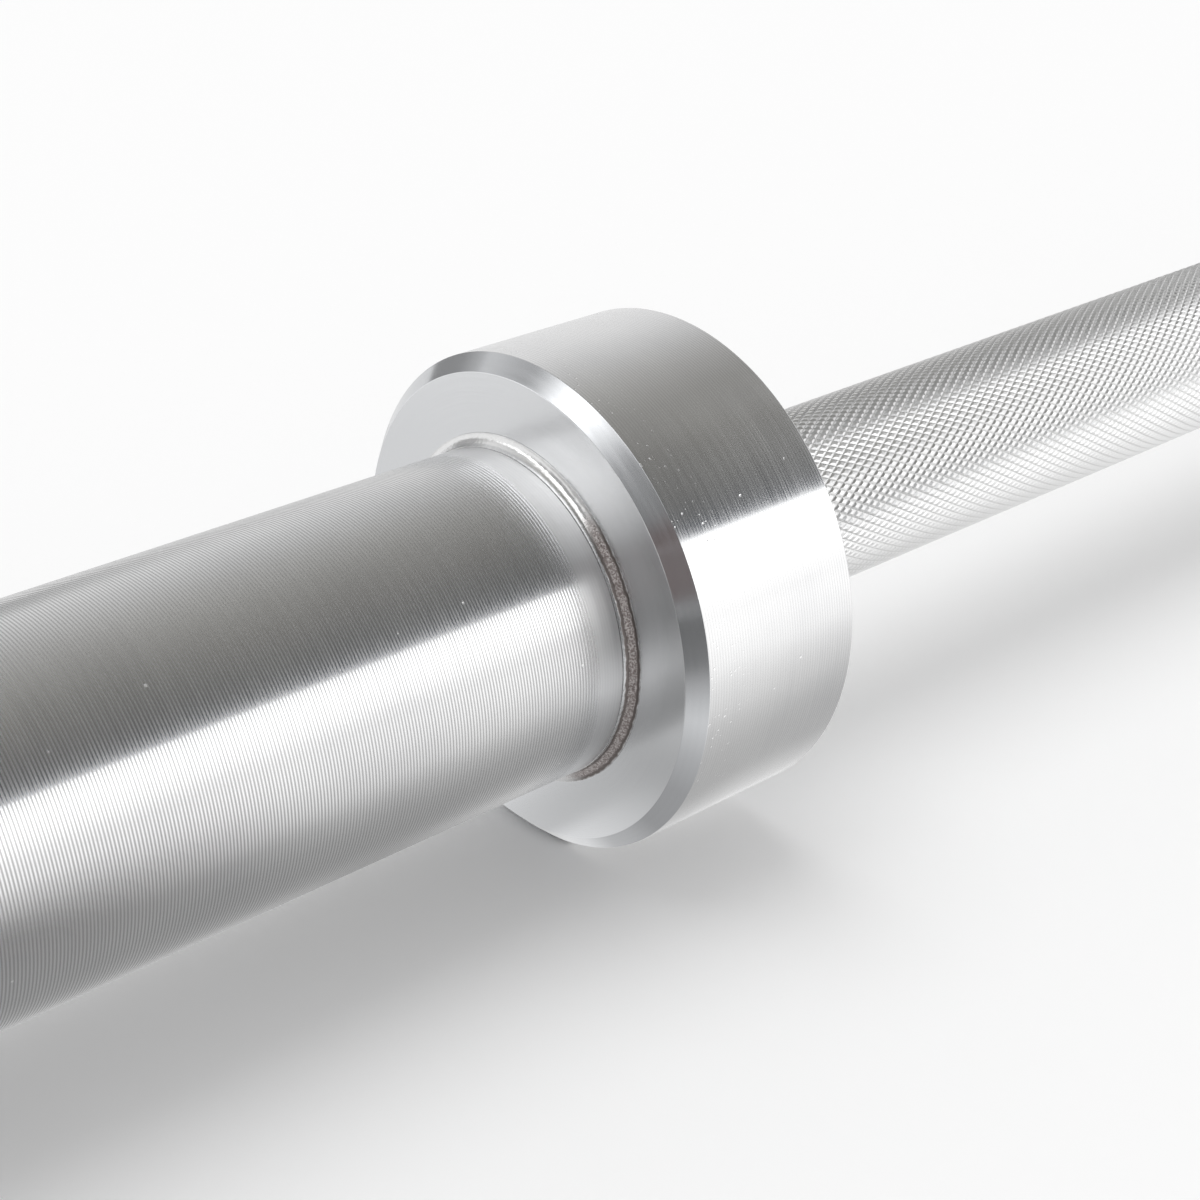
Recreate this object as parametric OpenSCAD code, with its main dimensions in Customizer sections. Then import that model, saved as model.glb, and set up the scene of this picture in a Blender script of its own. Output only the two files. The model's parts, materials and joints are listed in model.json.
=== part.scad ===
// Olympic barbell: a one-piece knurled shaft that carries two turning sleeves.
// The bar lies along X, Z is up, and the origin is the middle of the bar on its axis.
// Each side is drawn about Z from its collar's inner face outward, then laid along the bar.

/* [Bar] */
// Distance between the inner faces of the two collars
collar_span = 1310; // [1100:10:1400]
// Length of each sleeve beyond its collar, where the plates go
sleeve_length = 414; // [200:2:450]

/* [Grip] */
// Diameter of the plain steel between the knurled bands
grip_diameter = 29; // [27:0.5:31]
// Height that the knurl crests are raised above the plain steel
knurl_rise = 0.15; // [0.05:0.05:0.3]
// Plain length left between the knurl and the collar
knurl_end_gap = 1; // [0.5:0.5:6]
// Distance between the middles of the two plain ring marks
mark_span = 810; // [720:10:950]
// Width of each plain ring mark
mark_width = 5; // [3:0.5:12]
// Length of the knurled band at the middle of the bar
centre_knurl_length = 120; // [40:10:200]
// Plain length on each side of the middle band
plain_length = 150; // [60:10:200]

/* [Sleeve] */
// Outer diameter of the sleeve that the plates slide on
sleeve_diameter = 50; // [49:0.1:51]
// Wall left around the end cap's seat
end_wall = 5; // [4.5:0.25:6]
// Bevel on the sleeve's outer edge
sleeve_chamfer = 1.5; // [0.5:0.25:2]
// Bevel on the edge of the sleeve's mouth
mouth_chamfer = 0.6; // [0.2:0.1:1]

/* [Collar] */
// Diameter of the collar that the plates rest against
collar_diameter = 76; // [66:1:90]
// Width of the collar along the bar
collar_width = 31; // [25:1:40]
// Bevel on the collar's outer rim, on the plate side
collar_chamfer = 2.4; // [0.5:0.1:4]
// Bevel on the collar's rim, on the grip side
collar_back_chamfer = 0.5; // [0.2:0.1:2]
// Step in radius from the sleeve down to the seat under the collar
seat_step = 0.5; // [0.3:0.05:0.8]
// Size of the fillet of weld at the root of the sleeve
weld_size = 1.7; // [1:0.1:3]
// Thickness of the weld's feathered edges
weld_edge = 0.08; // [0.05:0.01:0.2]

/* [Journal] */
// Step in radius from the grip down to the journal
journal_step = 2; // [1.5:0.25:2.5]
// Depth of the shaft's shoulder inside the sleeve
shoulder_depth = 10; // [9:0.5:20]
// Bevel on the shoulder and on the shaft's ends
shaft_chamfer = 0.8; // [0.3:0.1:1]
// Length of the journal beyond its retaining ring's groove
journal_tail = 3; // [2:0.5:6]
// Radius of the lathe centre in each end of the shaft
centre_hole_radius = 3; // [2:0.5:5]

/* [Bearings] */
// Length of each drawn cup needle bearing
bearing_length = 20; // [14:1:30]
// Diameter of one needle
needle_diameter = 2.5; // [2:0.1:3]
// Number of needles in each bearing
needle_count = 16; // [10:1:20]
// Play of a needle on the journal and in its cup
needle_play = 0.02; // [0.01:0.01:0.05]
// Wall of the drawn cup
cup_wall = 1; // [0.8:0.1:1.2]
// Gap from the cup's lips to the journal
lip_gap = 0.7; // [0.5:0.1:1]
// Gap from the cage to the journal, the cup's race and the cup's lips
cage_gap = 0.4; // [0.3:0.05:0.5]
// Width of the solid ring at each end of a cage
cage_rim = 1.5; // [1:0.25:2]
// Play of a needle in its pocket
pocket_play = 0.05; // [0.03:0.01:0.1]
// Bevel on the ends of a needle
needle_chamfer = 0.3; // [0.1:0.1:0.5]

/* [Bushings] */
// Length of each bronze bushing
bushing_length = 20; // [12:1:30]
// Play between a bushing and the journal
bushing_play = 0.05; // [0.03:0.01:0.1]
// Distance between a bearing and the bushing beside it
bearing_spacing = 2; // [1:0.5:10]
// Bevel on a bushing's bore
bushing_chamfer = 0.5; // [0.2:0.1:1]
// Width of the oil groove in a bushing
oil_groove_width = 2.4; // [1:0.2:4]
// Depth of the oil groove in a bushing
oil_groove_depth = 0.6; // [0.2:0.1:1]

/* [Washers] */
// Thickness of the bronze thrust washers
thrust_washer_thickness = 2; // [1:0.5:3]
// Thickness of the steel washer behind the shaft's retaining ring
shaft_washer_thickness = 1.5; // [1:0.25:2.5]
// Play of the sleeve along the shaft, at each end
end_play = 0.3; // [0.3:0.05:0.6]
// Play between a washer's hole and the journal
washer_play = 0.1; // [0.05:0.05:0.3]
// Gap around the rim of a washer
washer_rim_gap = 0.4; // [0.3:0.1:1]

/* [Retaining rings] */
// Thickness of the ring on the shaft
shaft_ring_thickness = 1.2; // [1:0.1:1.5]
// Depth of the ring's groove in the shaft
shaft_groove_depth = 0.55; // [0.4:0.05:0.8]
// Radial width of the shaft's ring, opposite its gap
shaft_ring_width = 3; // [2.8:0.1:3.4]
// Radius of the shaft ring's lugs
shaft_lug_radius = 2.2; // [1.8:0.1:2.4]
// Thickness of the ring in the sleeve's mouth
cap_ring_thickness = 1.75; // [1.25:0.25:2]
// Depth of the ring's groove in the sleeve
cap_groove_depth = 1.25; // [0.8:0.05:1.5]
// Radial width of the sleeve's ring, opposite its gap
cap_ring_width = 3.9; // [3.4:0.1:4.4]
// Radius of the sleeve ring's lugs
cap_lug_radius = 2.9; // [2.5:0.1:3]
// Width that each ring loses from there to its gap
ring_taper = 1.2; // [0.6:0.1:1.6]
// Extra width of a groove over its ring
groove_play = 0.1; // [0.05:0.05:0.2]
// Width of the shaft ring's gap
shaft_ring_gap = 2.5; // [1.5:0.5:4]
// Width of the sleeve ring's gap
cap_ring_gap = 5; // [3:0.5:8]

/* [End cap] */
// Thickness of the end cap's rim
cap_thickness = 8; // [6:0.5:12]
// Width of the step that the end cap sits on
cap_seat_width = 1; // [0.6:0.1:1.5]
// Play between the end cap and the sleeve
cap_play = 0.05; // [0.03:0.01:0.1]
// Clear length between the shaft's end and the end cap
cap_clearance = 3; // [1:0.5:10]
// Length of sleeve left beyond the cap's ring groove
mouth_land = 2.3; // [2:0.1:5]
// Bevel on the end cap's inner edge
cap_chamfer = 0.6; // [0.2:0.1:1]
// Diameter of the boss on the end cap's face
boss_diameter = 25; // [18:0.5:26]
// Height of the boss on the end cap's face
boss_height = 1.5; // [1:0.1:2]
// Diameter of the line turned in the boss
boss_line_diameter = 18.6; // [8:0.2:20]
// Half width of the line turned in the boss
boss_line_half = 0.6; // [0.3:0.1:0.8]
// Depth of the line turned in the boss
boss_line_depth = 0.45; // [0.2:0.05:0.9]
// Radius and depth of the lathe centre in the boss
dimple_radius = 1.5; // [1:0.25:2]
// Thickness of the end cap's sealing ring
oring_section = 1.8; // [1.5:0.1:2.4]
// Gap left between the sealing ring and its groove and seat
oring_gap = 0.02; // [0.01:0.01:0.05]
// Extra width of the sealing ring's groove on each side
oring_groove_play = 0.35; // [0.1:0.05:0.6]

/* [Dust seal] */
// Depth of the seal's seat in the sleeve's inner end
seal_depth = 6; // [4:0.5:8]
// Distance that the seal sits below the collar's inner face
seal_recess = 0.6; // [0.3:0.1:1]
// Gap between the seal's lip and the grip
seal_lip_gap = 0.1; // [0.05:0.05:0.3]

/* [Hidden] */
$fn = 96;

// Sides of the bar
LEFT = -1;
RIGHT = 1;

// Angle about the bar that the left side's turning pieces rest at, set against the right side's
left_turn = 22.5;

// Colours of the finishes
satin_chrome = [0.78, 0.78, 0.77];
knurled_steel = [0.66, 0.66, 0.64];
weld_steel = [0.62, 0.60, 0.57];
bearing_steel = [0.55, 0.56, 0.58];
spring_steel = [0.22, 0.22, 0.23];
bronze = [0.72, 0.52, 0.26];
black_rubber = [0.07, 0.07, 0.07];

// Radii of the grip, the knurl crests and the journal
grip_r = grip_diameter / 2;
crest_r = grip_r + knurl_rise;
journal_r = grip_r - journal_step;

// Radii of a bearing, from the journal out to the sleeve's bore
needle_r = needle_diameter / 2;
needle_pitch_r = journal_r + needle_play + needle_r;
race_r = needle_pitch_r + needle_r + needle_play;
bore_r = race_r + cup_wall;

// Radii of the seats in the sleeve's ends
sleeve_r = sleeve_diameter / 2;
collar_seat_r = sleeve_r - seat_step;
cap_pocket_r = sleeve_r - end_wall;
washer_pocket_r = cap_pocket_r - cap_seat_width;
seal_pocket_r = cap_pocket_r;
cap_groove_r = cap_pocket_r + cap_groove_depth;
shaft_groove_r = journal_r - shaft_groove_depth;
collar_r = collar_diameter / 2;

// Widths of the retaining rings' grooves
shaft_groove_width = shaft_ring_thickness + groove_play;
cap_groove_width = cap_ring_thickness + groove_play;

// Places along one side, measured outward from the collar's inner face
tube_length = collar_width + sleeve_length;
weld_toe_at = collar_width + weld_size;
inner_bearing_at = shoulder_depth + thrust_washer_thickness + end_play;
inner_bushing_at = inner_bearing_at + bearing_length + bearing_spacing;
cap_pocket_depth = cap_thickness + cap_groove_width + mouth_land;
cap_at = tube_length - cap_pocket_depth;
cap_ring_at = cap_at + cap_thickness;
journal_room = thrust_washer_thickness + end_play + shaft_washer_thickness
    + shaft_groove_width + journal_tail;
outer_face_at = cap_at - journal_room - cap_clearance;
outer_bushing_at = outer_face_at - bushing_length;
outer_bearing_at = outer_bushing_at - bearing_spacing - bearing_length;
shaft_washer_at = outer_face_at + thrust_washer_thickness + end_play;
shaft_ring_at = shaft_washer_at + shaft_washer_thickness;
journal_end = shaft_ring_at + shaft_groove_width + journal_tail;

// Ends of the knurled bands, measured from the middle of the bar
centre_knurl_end = centre_knurl_length / 2;
outer_knurl_start = centre_knurl_end + plain_length;
mark_start = (mark_span - mark_width) / 2;
mark_end = (mark_span + mark_width) / 2;
outer_knurl_end = collar_span / 2 - knurl_end_gap;

// A piece turned about Z from the points of its section, each [radius, height]
module turned(points) {
    rotate_extrude() polygon(points);
}

// A plain ring between two heights
module ring(inner_r, outer_r, from, to) {
    turned([[inner_r, from], [outer_r, from], [outer_r, to], [inner_r, to]]);
}

// Lays what is drawn about Z along the bar, from one collar's inner face outward
module on_side(side) {
    mirror([side == LEFT ? 1 : 0, 0, 0])
        translate([collar_span / 2, 0, 0])
            rotate([0, 90, 0])
                rotate(side == LEFT ? left_turn : 0)
                    children();
}

// Half of the shaft's section, from the middle of the bar to its end
function half_shaft() =
    let (
        shoulder = collar_span / 2 + shoulder_depth,
        groove = collar_span / 2 + shaft_ring_at,
        end = collar_span / 2 + journal_end
    )
    [
        [crest_r, centre_knurl_end - knurl_rise],
        [grip_r, centre_knurl_end],
        [grip_r, outer_knurl_start],
        [crest_r, outer_knurl_start + knurl_rise],
        [crest_r, mark_start - knurl_rise],
        [grip_r, mark_start],
        [grip_r, mark_end],
        [crest_r, mark_end + knurl_rise],
        [crest_r, outer_knurl_end - knurl_rise],
        [grip_r, outer_knurl_end],
        [grip_r, shoulder - shaft_chamfer],
        [grip_r - shaft_chamfer, shoulder],
        [journal_r, shoulder],
        [journal_r, groove],
        [shaft_groove_r, groove],
        [shaft_groove_r, groove + shaft_groove_width],
        [journal_r, groove + shaft_groove_width],
        [journal_r, end - shaft_chamfer],
        [journal_r - shaft_chamfer, end],
        [centre_hole_radius, end],
        [0, end - centre_hole_radius]
    ];

// One bar of steel: grip, knurled bands, shoulders, journals and ring grooves
module shaft() {
    half = half_shaft();
    last = len(half) - 1;
    color(knurled_steel)
        rotate([0, 90, 0])
            turned(concat(
                half,
                [for (i = [last:-1:0]) [half[i][0], -half[i][1]]]
            ));
}

// The tube that carries the plates, turned down under the collar, with the seats for all that it holds
module sleeve_tube() {
    color(satin_chrome)
        turned([
            [collar_seat_r, 0],
            [collar_seat_r, weld_toe_at],
            [sleeve_r, weld_toe_at],
            [sleeve_r, tube_length - sleeve_chamfer],
            [sleeve_r - sleeve_chamfer, tube_length],
            [cap_pocket_r + mouth_chamfer, tube_length],
            [cap_pocket_r, tube_length - mouth_chamfer],
            [cap_pocket_r, cap_ring_at + cap_groove_width],
            [cap_groove_r, cap_ring_at + cap_groove_width],
            [cap_groove_r, cap_ring_at],
            [cap_pocket_r, cap_ring_at],
            [cap_pocket_r, cap_at],
            [washer_pocket_r, cap_at],
            [washer_pocket_r, outer_face_at],
            [bore_r, outer_face_at],
            [bore_r, seal_depth],
            [seal_pocket_r, seal_depth],
            [seal_pocket_r, 0]
        ]);
}

// The ring shrunk on the sleeve, bevelled for the weld at its bore
module collar() {
    color(satin_chrome)
        turned([
            [collar_seat_r, 0],
            [collar_r - collar_back_chamfer, 0],
            [collar_r, collar_back_chamfer],
            [collar_r, collar_width - collar_chamfer],
            [collar_r - collar_chamfer, collar_width],
            [sleeve_r + weld_size, collar_width],
            [collar_seat_r, collar_width - weld_size - seat_step]
        ]);
}

// The weld that fills the bevel and the end of the seat, and rises as a hollow fillet to the sleeve
module weld_bead() {
    color(weld_steel)
        rotate_extrude()
            difference() {
                polygon([
                    [collar_seat_r, collar_width - weld_size - seat_step],
                    [sleeve_r + weld_size, collar_width],
                    [sleeve_r + weld_size, weld_toe_at],
                    [collar_seat_r, weld_toe_at]
                ]);
                translate([sleeve_r + weld_size, weld_toe_at])
                    circle(r = weld_size - weld_edge);
            }
}

// The rubber seal, whose lip leans out toward the grip
module dust_seal() {
    lip_r = grip_r + seal_lip_gap;
    lip_root_r = grip_r + (seal_pocket_r - grip_r) / 4;
    color(black_rubber)
        turned([
            [lip_r, seal_recess],
            [seal_pocket_r, seal_recess],
            [seal_pocket_r, seal_depth],
            [lip_root_r, seal_depth],
            [lip_root_r, seal_depth / 2]
        ]);
}

// The bronze washer between the shaft's shoulder and the first bearing
module inner_thrust_washer() {
    color(bronze)
        ring(journal_r + washer_play, bore_r - washer_rim_gap,
             shoulder_depth, shoulder_depth + thrust_washer_thickness);
}

// A drawn cup with a lip at each end
module bearing_cup(from) {
    to = from + bearing_length;
    lip_r = journal_r + lip_gap;
    color(bearing_steel)
        turned([
            [lip_r, from],
            [bore_r, from],
            [bore_r, to],
            [lip_r, to],
            [lip_r, to - cup_wall],
            [race_r, to - cup_wall],
            [race_r, from + cup_wall],
            [lip_r, from + cup_wall]
        ]);
}

// Distance from a cup's end to the needles' pockets
pocket_inset = cup_wall + cage_gap + cage_rim;

// The cage that keeps the needles apart, with one pocket for each
module bearing_cage(from) {
    inner_r = journal_r + cage_gap;
    outer_r = race_r - cage_gap;
    pocket_length = bearing_length - 2 * pocket_inset;
    pocket_width = needle_diameter + 2 * pocket_play;
    pocket_depth = 2 * needle_diameter;
    color(bearing_steel)
        difference() {
            ring(inner_r, outer_r, from + cup_wall + cage_gap, from + bearing_length - cup_wall - cage_gap);
            for (i = [0:needle_count - 1])
                rotate(i * 360 / needle_count)
                    translate([needle_pitch_r - needle_diameter, -pocket_width / 2, from + pocket_inset])
                        cube([pocket_depth, pocket_width, pocket_length]);
        }
}

// The needles of one bearing, in their pockets
module bearing_needles(from) {
    start = from + pocket_inset + pocket_play;
    end = from + bearing_length - pocket_inset - pocket_play;
    color(satin_chrome)
        for (i = [0:needle_count - 1])
            rotate(i * 360 / needle_count)
                translate([needle_pitch_r, 0, 0])
                    turned([
                        [0, start],
                        [needle_r - needle_chamfer, start],
                        [needle_r, start + needle_chamfer],
                        [needle_r, end - needle_chamfer],
                        [needle_r - needle_chamfer, end],
                        [0, end]
                    ]);
}

// A bronze bushing with an oil groove round its bore
module bushing(from) {
    to = from + bushing_length;
    middle = from + bushing_length / 2;
    inner_r = journal_r + bushing_play;
    color(bronze)
        turned([
            [inner_r + bushing_chamfer, from],
            [bore_r, from],
            [bore_r, to],
            [inner_r + bushing_chamfer, to],
            [inner_r, to - bushing_chamfer],
            [inner_r, middle + oil_groove_width / 2],
            [inner_r + oil_groove_depth, middle + oil_groove_width / 2],
            [inner_r + oil_groove_depth, middle - oil_groove_width / 2],
            [inner_r, middle - oil_groove_width / 2],
            [inner_r, from + bushing_chamfer]
        ]);
}

// The bronze washer that turns with the sleeve
module outer_thrust_washer() {
    color(bronze)
        ring(journal_r + washer_rim_gap, washer_pocket_r - washer_play,
             outer_face_at, outer_face_at + thrust_washer_thickness);
}

// The steel washer that stays with the shaft
module shaft_washer() {
    color(bearing_steel)
        ring(journal_r + washer_play, washer_pocket_r - washer_rim_gap,
             shaft_washer_at, shaft_washer_at + shaft_washer_thickness);
}

// The two lugs of a retaining ring, on a circle about the origin, on either side of its gap
module lug_pair(on_r, lug_r, gap) {
    side_step = gap / 2 + lug_r;
    for (side = [LEFT, RIGHT])
        translate([sqrt(on_r * on_r - side_step * side_step), side * side_step])
            circle(r = lug_r);
}

// The spring ring in the shaft's groove, open beside its lugs
module shaft_snap_ring() {
    gap = shaft_ring_gap;
    lug_centre_r = shaft_groove_r + shaft_lug_radius + groove_play;
    outer_r = shaft_groove_r + shaft_ring_width - ring_taper / 2;
    color(spring_steel)
        translate([0, 0, shaft_ring_at])
            linear_extrude(shaft_ring_thickness)
                difference() {
                    union() {
                        translate([-ring_taper / 2, 0]) circle(r = outer_r);
                        lug_pair(lug_centre_r, shaft_lug_radius, gap);
                    }
                    circle(r = shaft_groove_r);
                    translate([0, -gap / 2]) square([outer_r + shaft_lug_radius, gap]);
                    lug_pair(lug_centre_r, shaft_lug_radius / 2, gap + shaft_lug_radius);
                }
}

// The plug that closes the sleeve, with a plain turned face
module end_cap() {
    cap_r = cap_pocket_r - cap_play;
    groove_r = cap_pocket_r - oring_section;
    groove_half = oring_section / 2 + oring_groove_play;
    groove_middle = cap_at + cap_thickness / 2;
    boss_r = boss_diameter / 2;
    line_r = boss_line_diameter / 2;
    face = cap_at + cap_thickness;
    boss_top = face + boss_height;
    color(satin_chrome)
        turned([
            [0, cap_at],
            [cap_r - cap_chamfer, cap_at],
            [cap_r, cap_at + cap_chamfer],
            [cap_r, groove_middle - groove_half],
            [groove_r, groove_middle - groove_half],
            [groove_r, groove_middle + groove_half],
            [cap_r, groove_middle + groove_half],
            [cap_r, face],
            [boss_r, face],
            [boss_r - boss_height / 2, boss_top],
            [line_r + boss_line_half, boss_top],
            [line_r, boss_top - boss_line_depth],
            [line_r - boss_line_half, boss_top],
            [dimple_radius, boss_top],
            [0, boss_top - dimple_radius]
        ]);
}

// The rubber ring in the end cap's groove
module end_cap_oring() {
    color(black_rubber)
        rotate_extrude()
            translate([cap_pocket_r - oring_section / 2, cap_at + cap_thickness / 2])
                circle(r = oring_section / 2 - oring_gap);
}

// The spring ring in the sleeve's mouth, open beside its lugs
module end_cap_snap_ring() {
    gap = cap_ring_gap;
    lug_centre_r = cap_groove_r - cap_lug_radius - groove_play;
    inner_r = cap_groove_r - cap_ring_width + ring_taper / 2;
    color(spring_steel)
        translate([0, 0, cap_ring_at])
            linear_extrude(cap_ring_thickness)
                difference() {
                    circle(r = cap_groove_r);
                    difference() {
                        translate([ring_taper / 2, 0]) circle(r = inner_r);
                        lug_pair(lug_centre_r, cap_lug_radius, gap);
                    }
                    translate([0, -gap / 2]) square([cap_groove_r, gap]);
                    lug_pair(lug_centre_r, cap_lug_radius / 2, gap + cap_lug_radius);
                }
}

shaft();

on_side(LEFT) sleeve_tube();  // left_sleeve_tube
on_side(LEFT) collar();  // left_collar
on_side(LEFT) weld_bead();  // left_weld_bead
on_side(LEFT) dust_seal();  // left_dust_seal
on_side(LEFT) inner_thrust_washer();  // left_inner_thrust_washer
on_side(LEFT) bearing_cup(inner_bearing_at);  // left_inner_bearing_cup
on_side(LEFT) bearing_cage(inner_bearing_at);  // left_inner_bearing_cage
on_side(LEFT) bearing_needles(inner_bearing_at);  // left_inner_bearing_needles
on_side(LEFT) bushing(inner_bushing_at);  // left_inner_bushing
on_side(LEFT) bearing_cup(outer_bearing_at);  // left_outer_bearing_cup
on_side(LEFT) bearing_cage(outer_bearing_at);  // left_outer_bearing_cage
on_side(LEFT) bearing_needles(outer_bearing_at);  // left_outer_bearing_needles
on_side(LEFT) bushing(outer_bushing_at);  // left_outer_bushing
on_side(LEFT) outer_thrust_washer();  // left_outer_thrust_washer
on_side(LEFT) shaft_washer();  // left_shaft_washer
on_side(LEFT) shaft_snap_ring();  // left_shaft_snap_ring
on_side(LEFT) end_cap();  // left_end_cap
on_side(LEFT) end_cap_oring();  // left_end_cap_oring
on_side(LEFT) end_cap_snap_ring();  // left_end_cap_snap_ring

on_side(RIGHT) sleeve_tube();  // right_sleeve_tube
on_side(RIGHT) collar();  // right_collar
on_side(RIGHT) weld_bead();  // right_weld_bead
on_side(RIGHT) dust_seal();  // right_dust_seal
on_side(RIGHT) inner_thrust_washer();  // right_inner_thrust_washer
on_side(RIGHT) bearing_cup(inner_bearing_at);  // right_inner_bearing_cup
on_side(RIGHT) bearing_cage(inner_bearing_at);  // right_inner_bearing_cage
on_side(RIGHT) bearing_needles(inner_bearing_at);  // right_inner_bearing_needles
on_side(RIGHT) bushing(inner_bushing_at);  // right_inner_bushing
on_side(RIGHT) bearing_cup(outer_bearing_at);  // right_outer_bearing_cup
on_side(RIGHT) bearing_cage(outer_bearing_at);  // right_outer_bearing_cage
on_side(RIGHT) bearing_needles(outer_bearing_at);  // right_outer_bearing_needles
on_side(RIGHT) bushing(outer_bushing_at);  // right_outer_bushing
on_side(RIGHT) outer_thrust_washer();  // right_outer_thrust_washer
on_side(RIGHT) shaft_washer();  // right_shaft_washer
on_side(RIGHT) shaft_snap_ring();  // right_shaft_snap_ring
on_side(RIGHT) end_cap();  // right_end_cap
on_side(RIGHT) end_cap_oring();  // right_end_cap_oring
on_side(RIGHT) end_cap_snap_ring();  // right_end_cap_snap_ring
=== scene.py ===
"""The looks of an olympic barbell, made round its packed construction model."""

import json
import math

import bpy
import numpy as np
from mathutils import Matrix, Vector

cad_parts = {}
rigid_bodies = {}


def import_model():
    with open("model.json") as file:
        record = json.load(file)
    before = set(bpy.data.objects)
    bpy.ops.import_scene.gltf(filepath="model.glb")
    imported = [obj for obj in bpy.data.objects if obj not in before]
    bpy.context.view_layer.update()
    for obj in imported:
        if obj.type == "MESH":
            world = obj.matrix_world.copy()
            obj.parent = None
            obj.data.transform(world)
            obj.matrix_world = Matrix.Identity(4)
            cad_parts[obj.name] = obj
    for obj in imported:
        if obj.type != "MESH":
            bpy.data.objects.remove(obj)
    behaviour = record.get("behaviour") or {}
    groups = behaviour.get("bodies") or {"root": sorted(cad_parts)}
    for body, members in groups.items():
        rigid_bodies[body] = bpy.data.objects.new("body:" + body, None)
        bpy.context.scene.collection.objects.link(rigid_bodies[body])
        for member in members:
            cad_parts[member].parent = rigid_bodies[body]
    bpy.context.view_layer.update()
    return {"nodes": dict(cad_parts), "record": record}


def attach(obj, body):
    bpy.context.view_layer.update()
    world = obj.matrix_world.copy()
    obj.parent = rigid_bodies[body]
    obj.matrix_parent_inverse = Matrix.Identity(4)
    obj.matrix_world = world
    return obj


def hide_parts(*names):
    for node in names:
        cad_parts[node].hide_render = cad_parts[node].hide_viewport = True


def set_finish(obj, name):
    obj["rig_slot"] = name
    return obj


BAKE_MAP = "OFBake"
MM = 0.001
SIDES = {"left": -1, "right": 1}

# Distances along the bar in millimetres: from its middle, or outward from a collar's inner face
COLLAR_FACE = 655
COLLAR_WIDTH = 31
TUBE_END = 445
WELD_TOE = 32.7
WELD_ROOT = 28.8
SEAL_DEPTH = 6
CAP_FLOOR = 432.85
CAP_FACE = 440.85
CAP_GROOVE_END = 442.7
WASHER_POCKET = 421.75
SHOULDER = 665
RING_GROOVE = 1080.55
RING_GROOVE_END = 1081.85
SHAFT_END = 1084.85

# Where the knurl stops and starts, from the middle of the bar outward
MIDDLE_KNURL_END = 60
INNER_KNURL_START = 210
INNER_KNURL_END = 402.5
OUTER_KNURL_START = 407.5
OUTER_KNURL_END = 654
KNURLS = {
    "knurl_left_outer": (-OUTER_KNURL_END, -OUTER_KNURL_START),
    "knurl_left_inner": (-INNER_KNURL_END, -INNER_KNURL_START),
    "knurl_middle": (-MIDDLE_KNURL_END, MIDDLE_KNURL_END),
    "knurl_right_inner": (INNER_KNURL_START, INNER_KNURL_END),
    "knurl_right_outer": (OUTER_KNURL_START, OUTER_KNURL_END),
}

# Radii in millimetres
GRIP_R = 14.5
CREST_R = 14.65
VALLEY_R = 14.45
BAND_SEAT_R = 14.2
BAND_FOOT_R = 14.1
JOURNAL_R = 12.5
GROOVE_R = 11.95
CENTRE_HOLE_R = 3
BORE_R = 16.04
WASHER_R = 19
POCKET_R = 20
CAP_GROOVE_R = 21.25
SEAT_R = 24.5
SLEEVE_R = 25
WELD_R = 26.7
COLLAR_R = 38
CAP_R = 19.95
ORING_SEAT_R = 18.2
BOSS_R = 12.5
BOSS_LINE_R = 9.3
DIMPLE_R = 1.5

# Bevels in millimetres
SHAFT_BEVEL = 0.8
SLEEVE_BEVEL = 1.5
MOUTH_BEVEL = 0.6
COLLAR_BEVEL = 2.4
COLLAR_BACK_BEVEL = 0.5
CAP_BEVEL = 0.6

# What a place along the bar exceeds the radius by, in the middle of the weld's fillet
FILLET_MIDDLE = COLLAR_FACE + COLLAR_WIDTH - SLEEVE_R

# The knurl: its starts round the shaft, the length of a diamond in mm and the share of it that is flat
KNURL_STARTS = 65
DIAMOND_LENGTH = 2.53
FLAT_SHARE = 0.42

# Margins of the maps, as shares of them: of every piece, and of a knurled band's ends
MAP_EDGE = 0.01
BAND_EDGE = 0.02

# Pitch of the turned lines in mm
LINE_PITCH = 0.5
# How much of their strength the lines keep: on the collar, beside the weld, and on flat faces
COLLAR_LINES = 0.28
LEAST_LINES = 0.12
LEAST_ON_FACES = 0.15

# Metres along the bar that a ray mirrored in it travels for each metre that it travels away
MIRRORED_LEAN = 0.739
# The colour of a dim figure that the chrome mirrors
PERSON = (0.17, 0.125, 0.12)
# How far below the bar's axis a card lies where it would reach the floor, in metres
CARD_DROP = 0.98 * COLLAR_R * MM

# The most of an edge that rounding takes, the least turn that it rounds, and the step of its arc
ROUNDED_SHARE = 0.45
LEAST_TURN = math.radians(30)
ARC_STEP = math.radians(25)


# Shapes


def fillet_corner(before, corner, after, radius):
    """The points and normals that round one corner of an outline, each as (x, r, normal x, normal r)."""
    u, v = corner - before, after - corner
    room = ROUNDED_SHARE * min(np.hypot(*u), np.hypot(*v))
    u, v = u / np.hypot(*u), v / np.hypot(*v)
    turn = math.atan2(u[0] * v[1] - u[1] * v[0], u @ v)
    first = math.atan2(-u[0], u[1])
    if corner[1] < 1e-6:
        return [(corner[0], 0, math.copysign(1, math.cos(first)), 0)]
    if abs(turn) < LEAST_TURN:
        middle = first + turn / 2
        return [(*corner, math.cos(middle), math.sin(middle))]
    reach = math.tan(abs(turn) / 2)
    radius = min(radius, room / reach)
    bend = math.copysign(radius, turn)
    centre = corner - u * radius * reach - bend * np.array([math.cos(first), math.sin(first)])
    steps = max(2, math.ceil(abs(turn) / ARC_STEP))
    found = []
    for step in range(steps + 1):
        angle = first + turn * step / steps
        normal = np.array([math.cos(angle), math.sin(angle)])
        found.append((*(centre + bend * normal), *normal))
    return found


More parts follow.
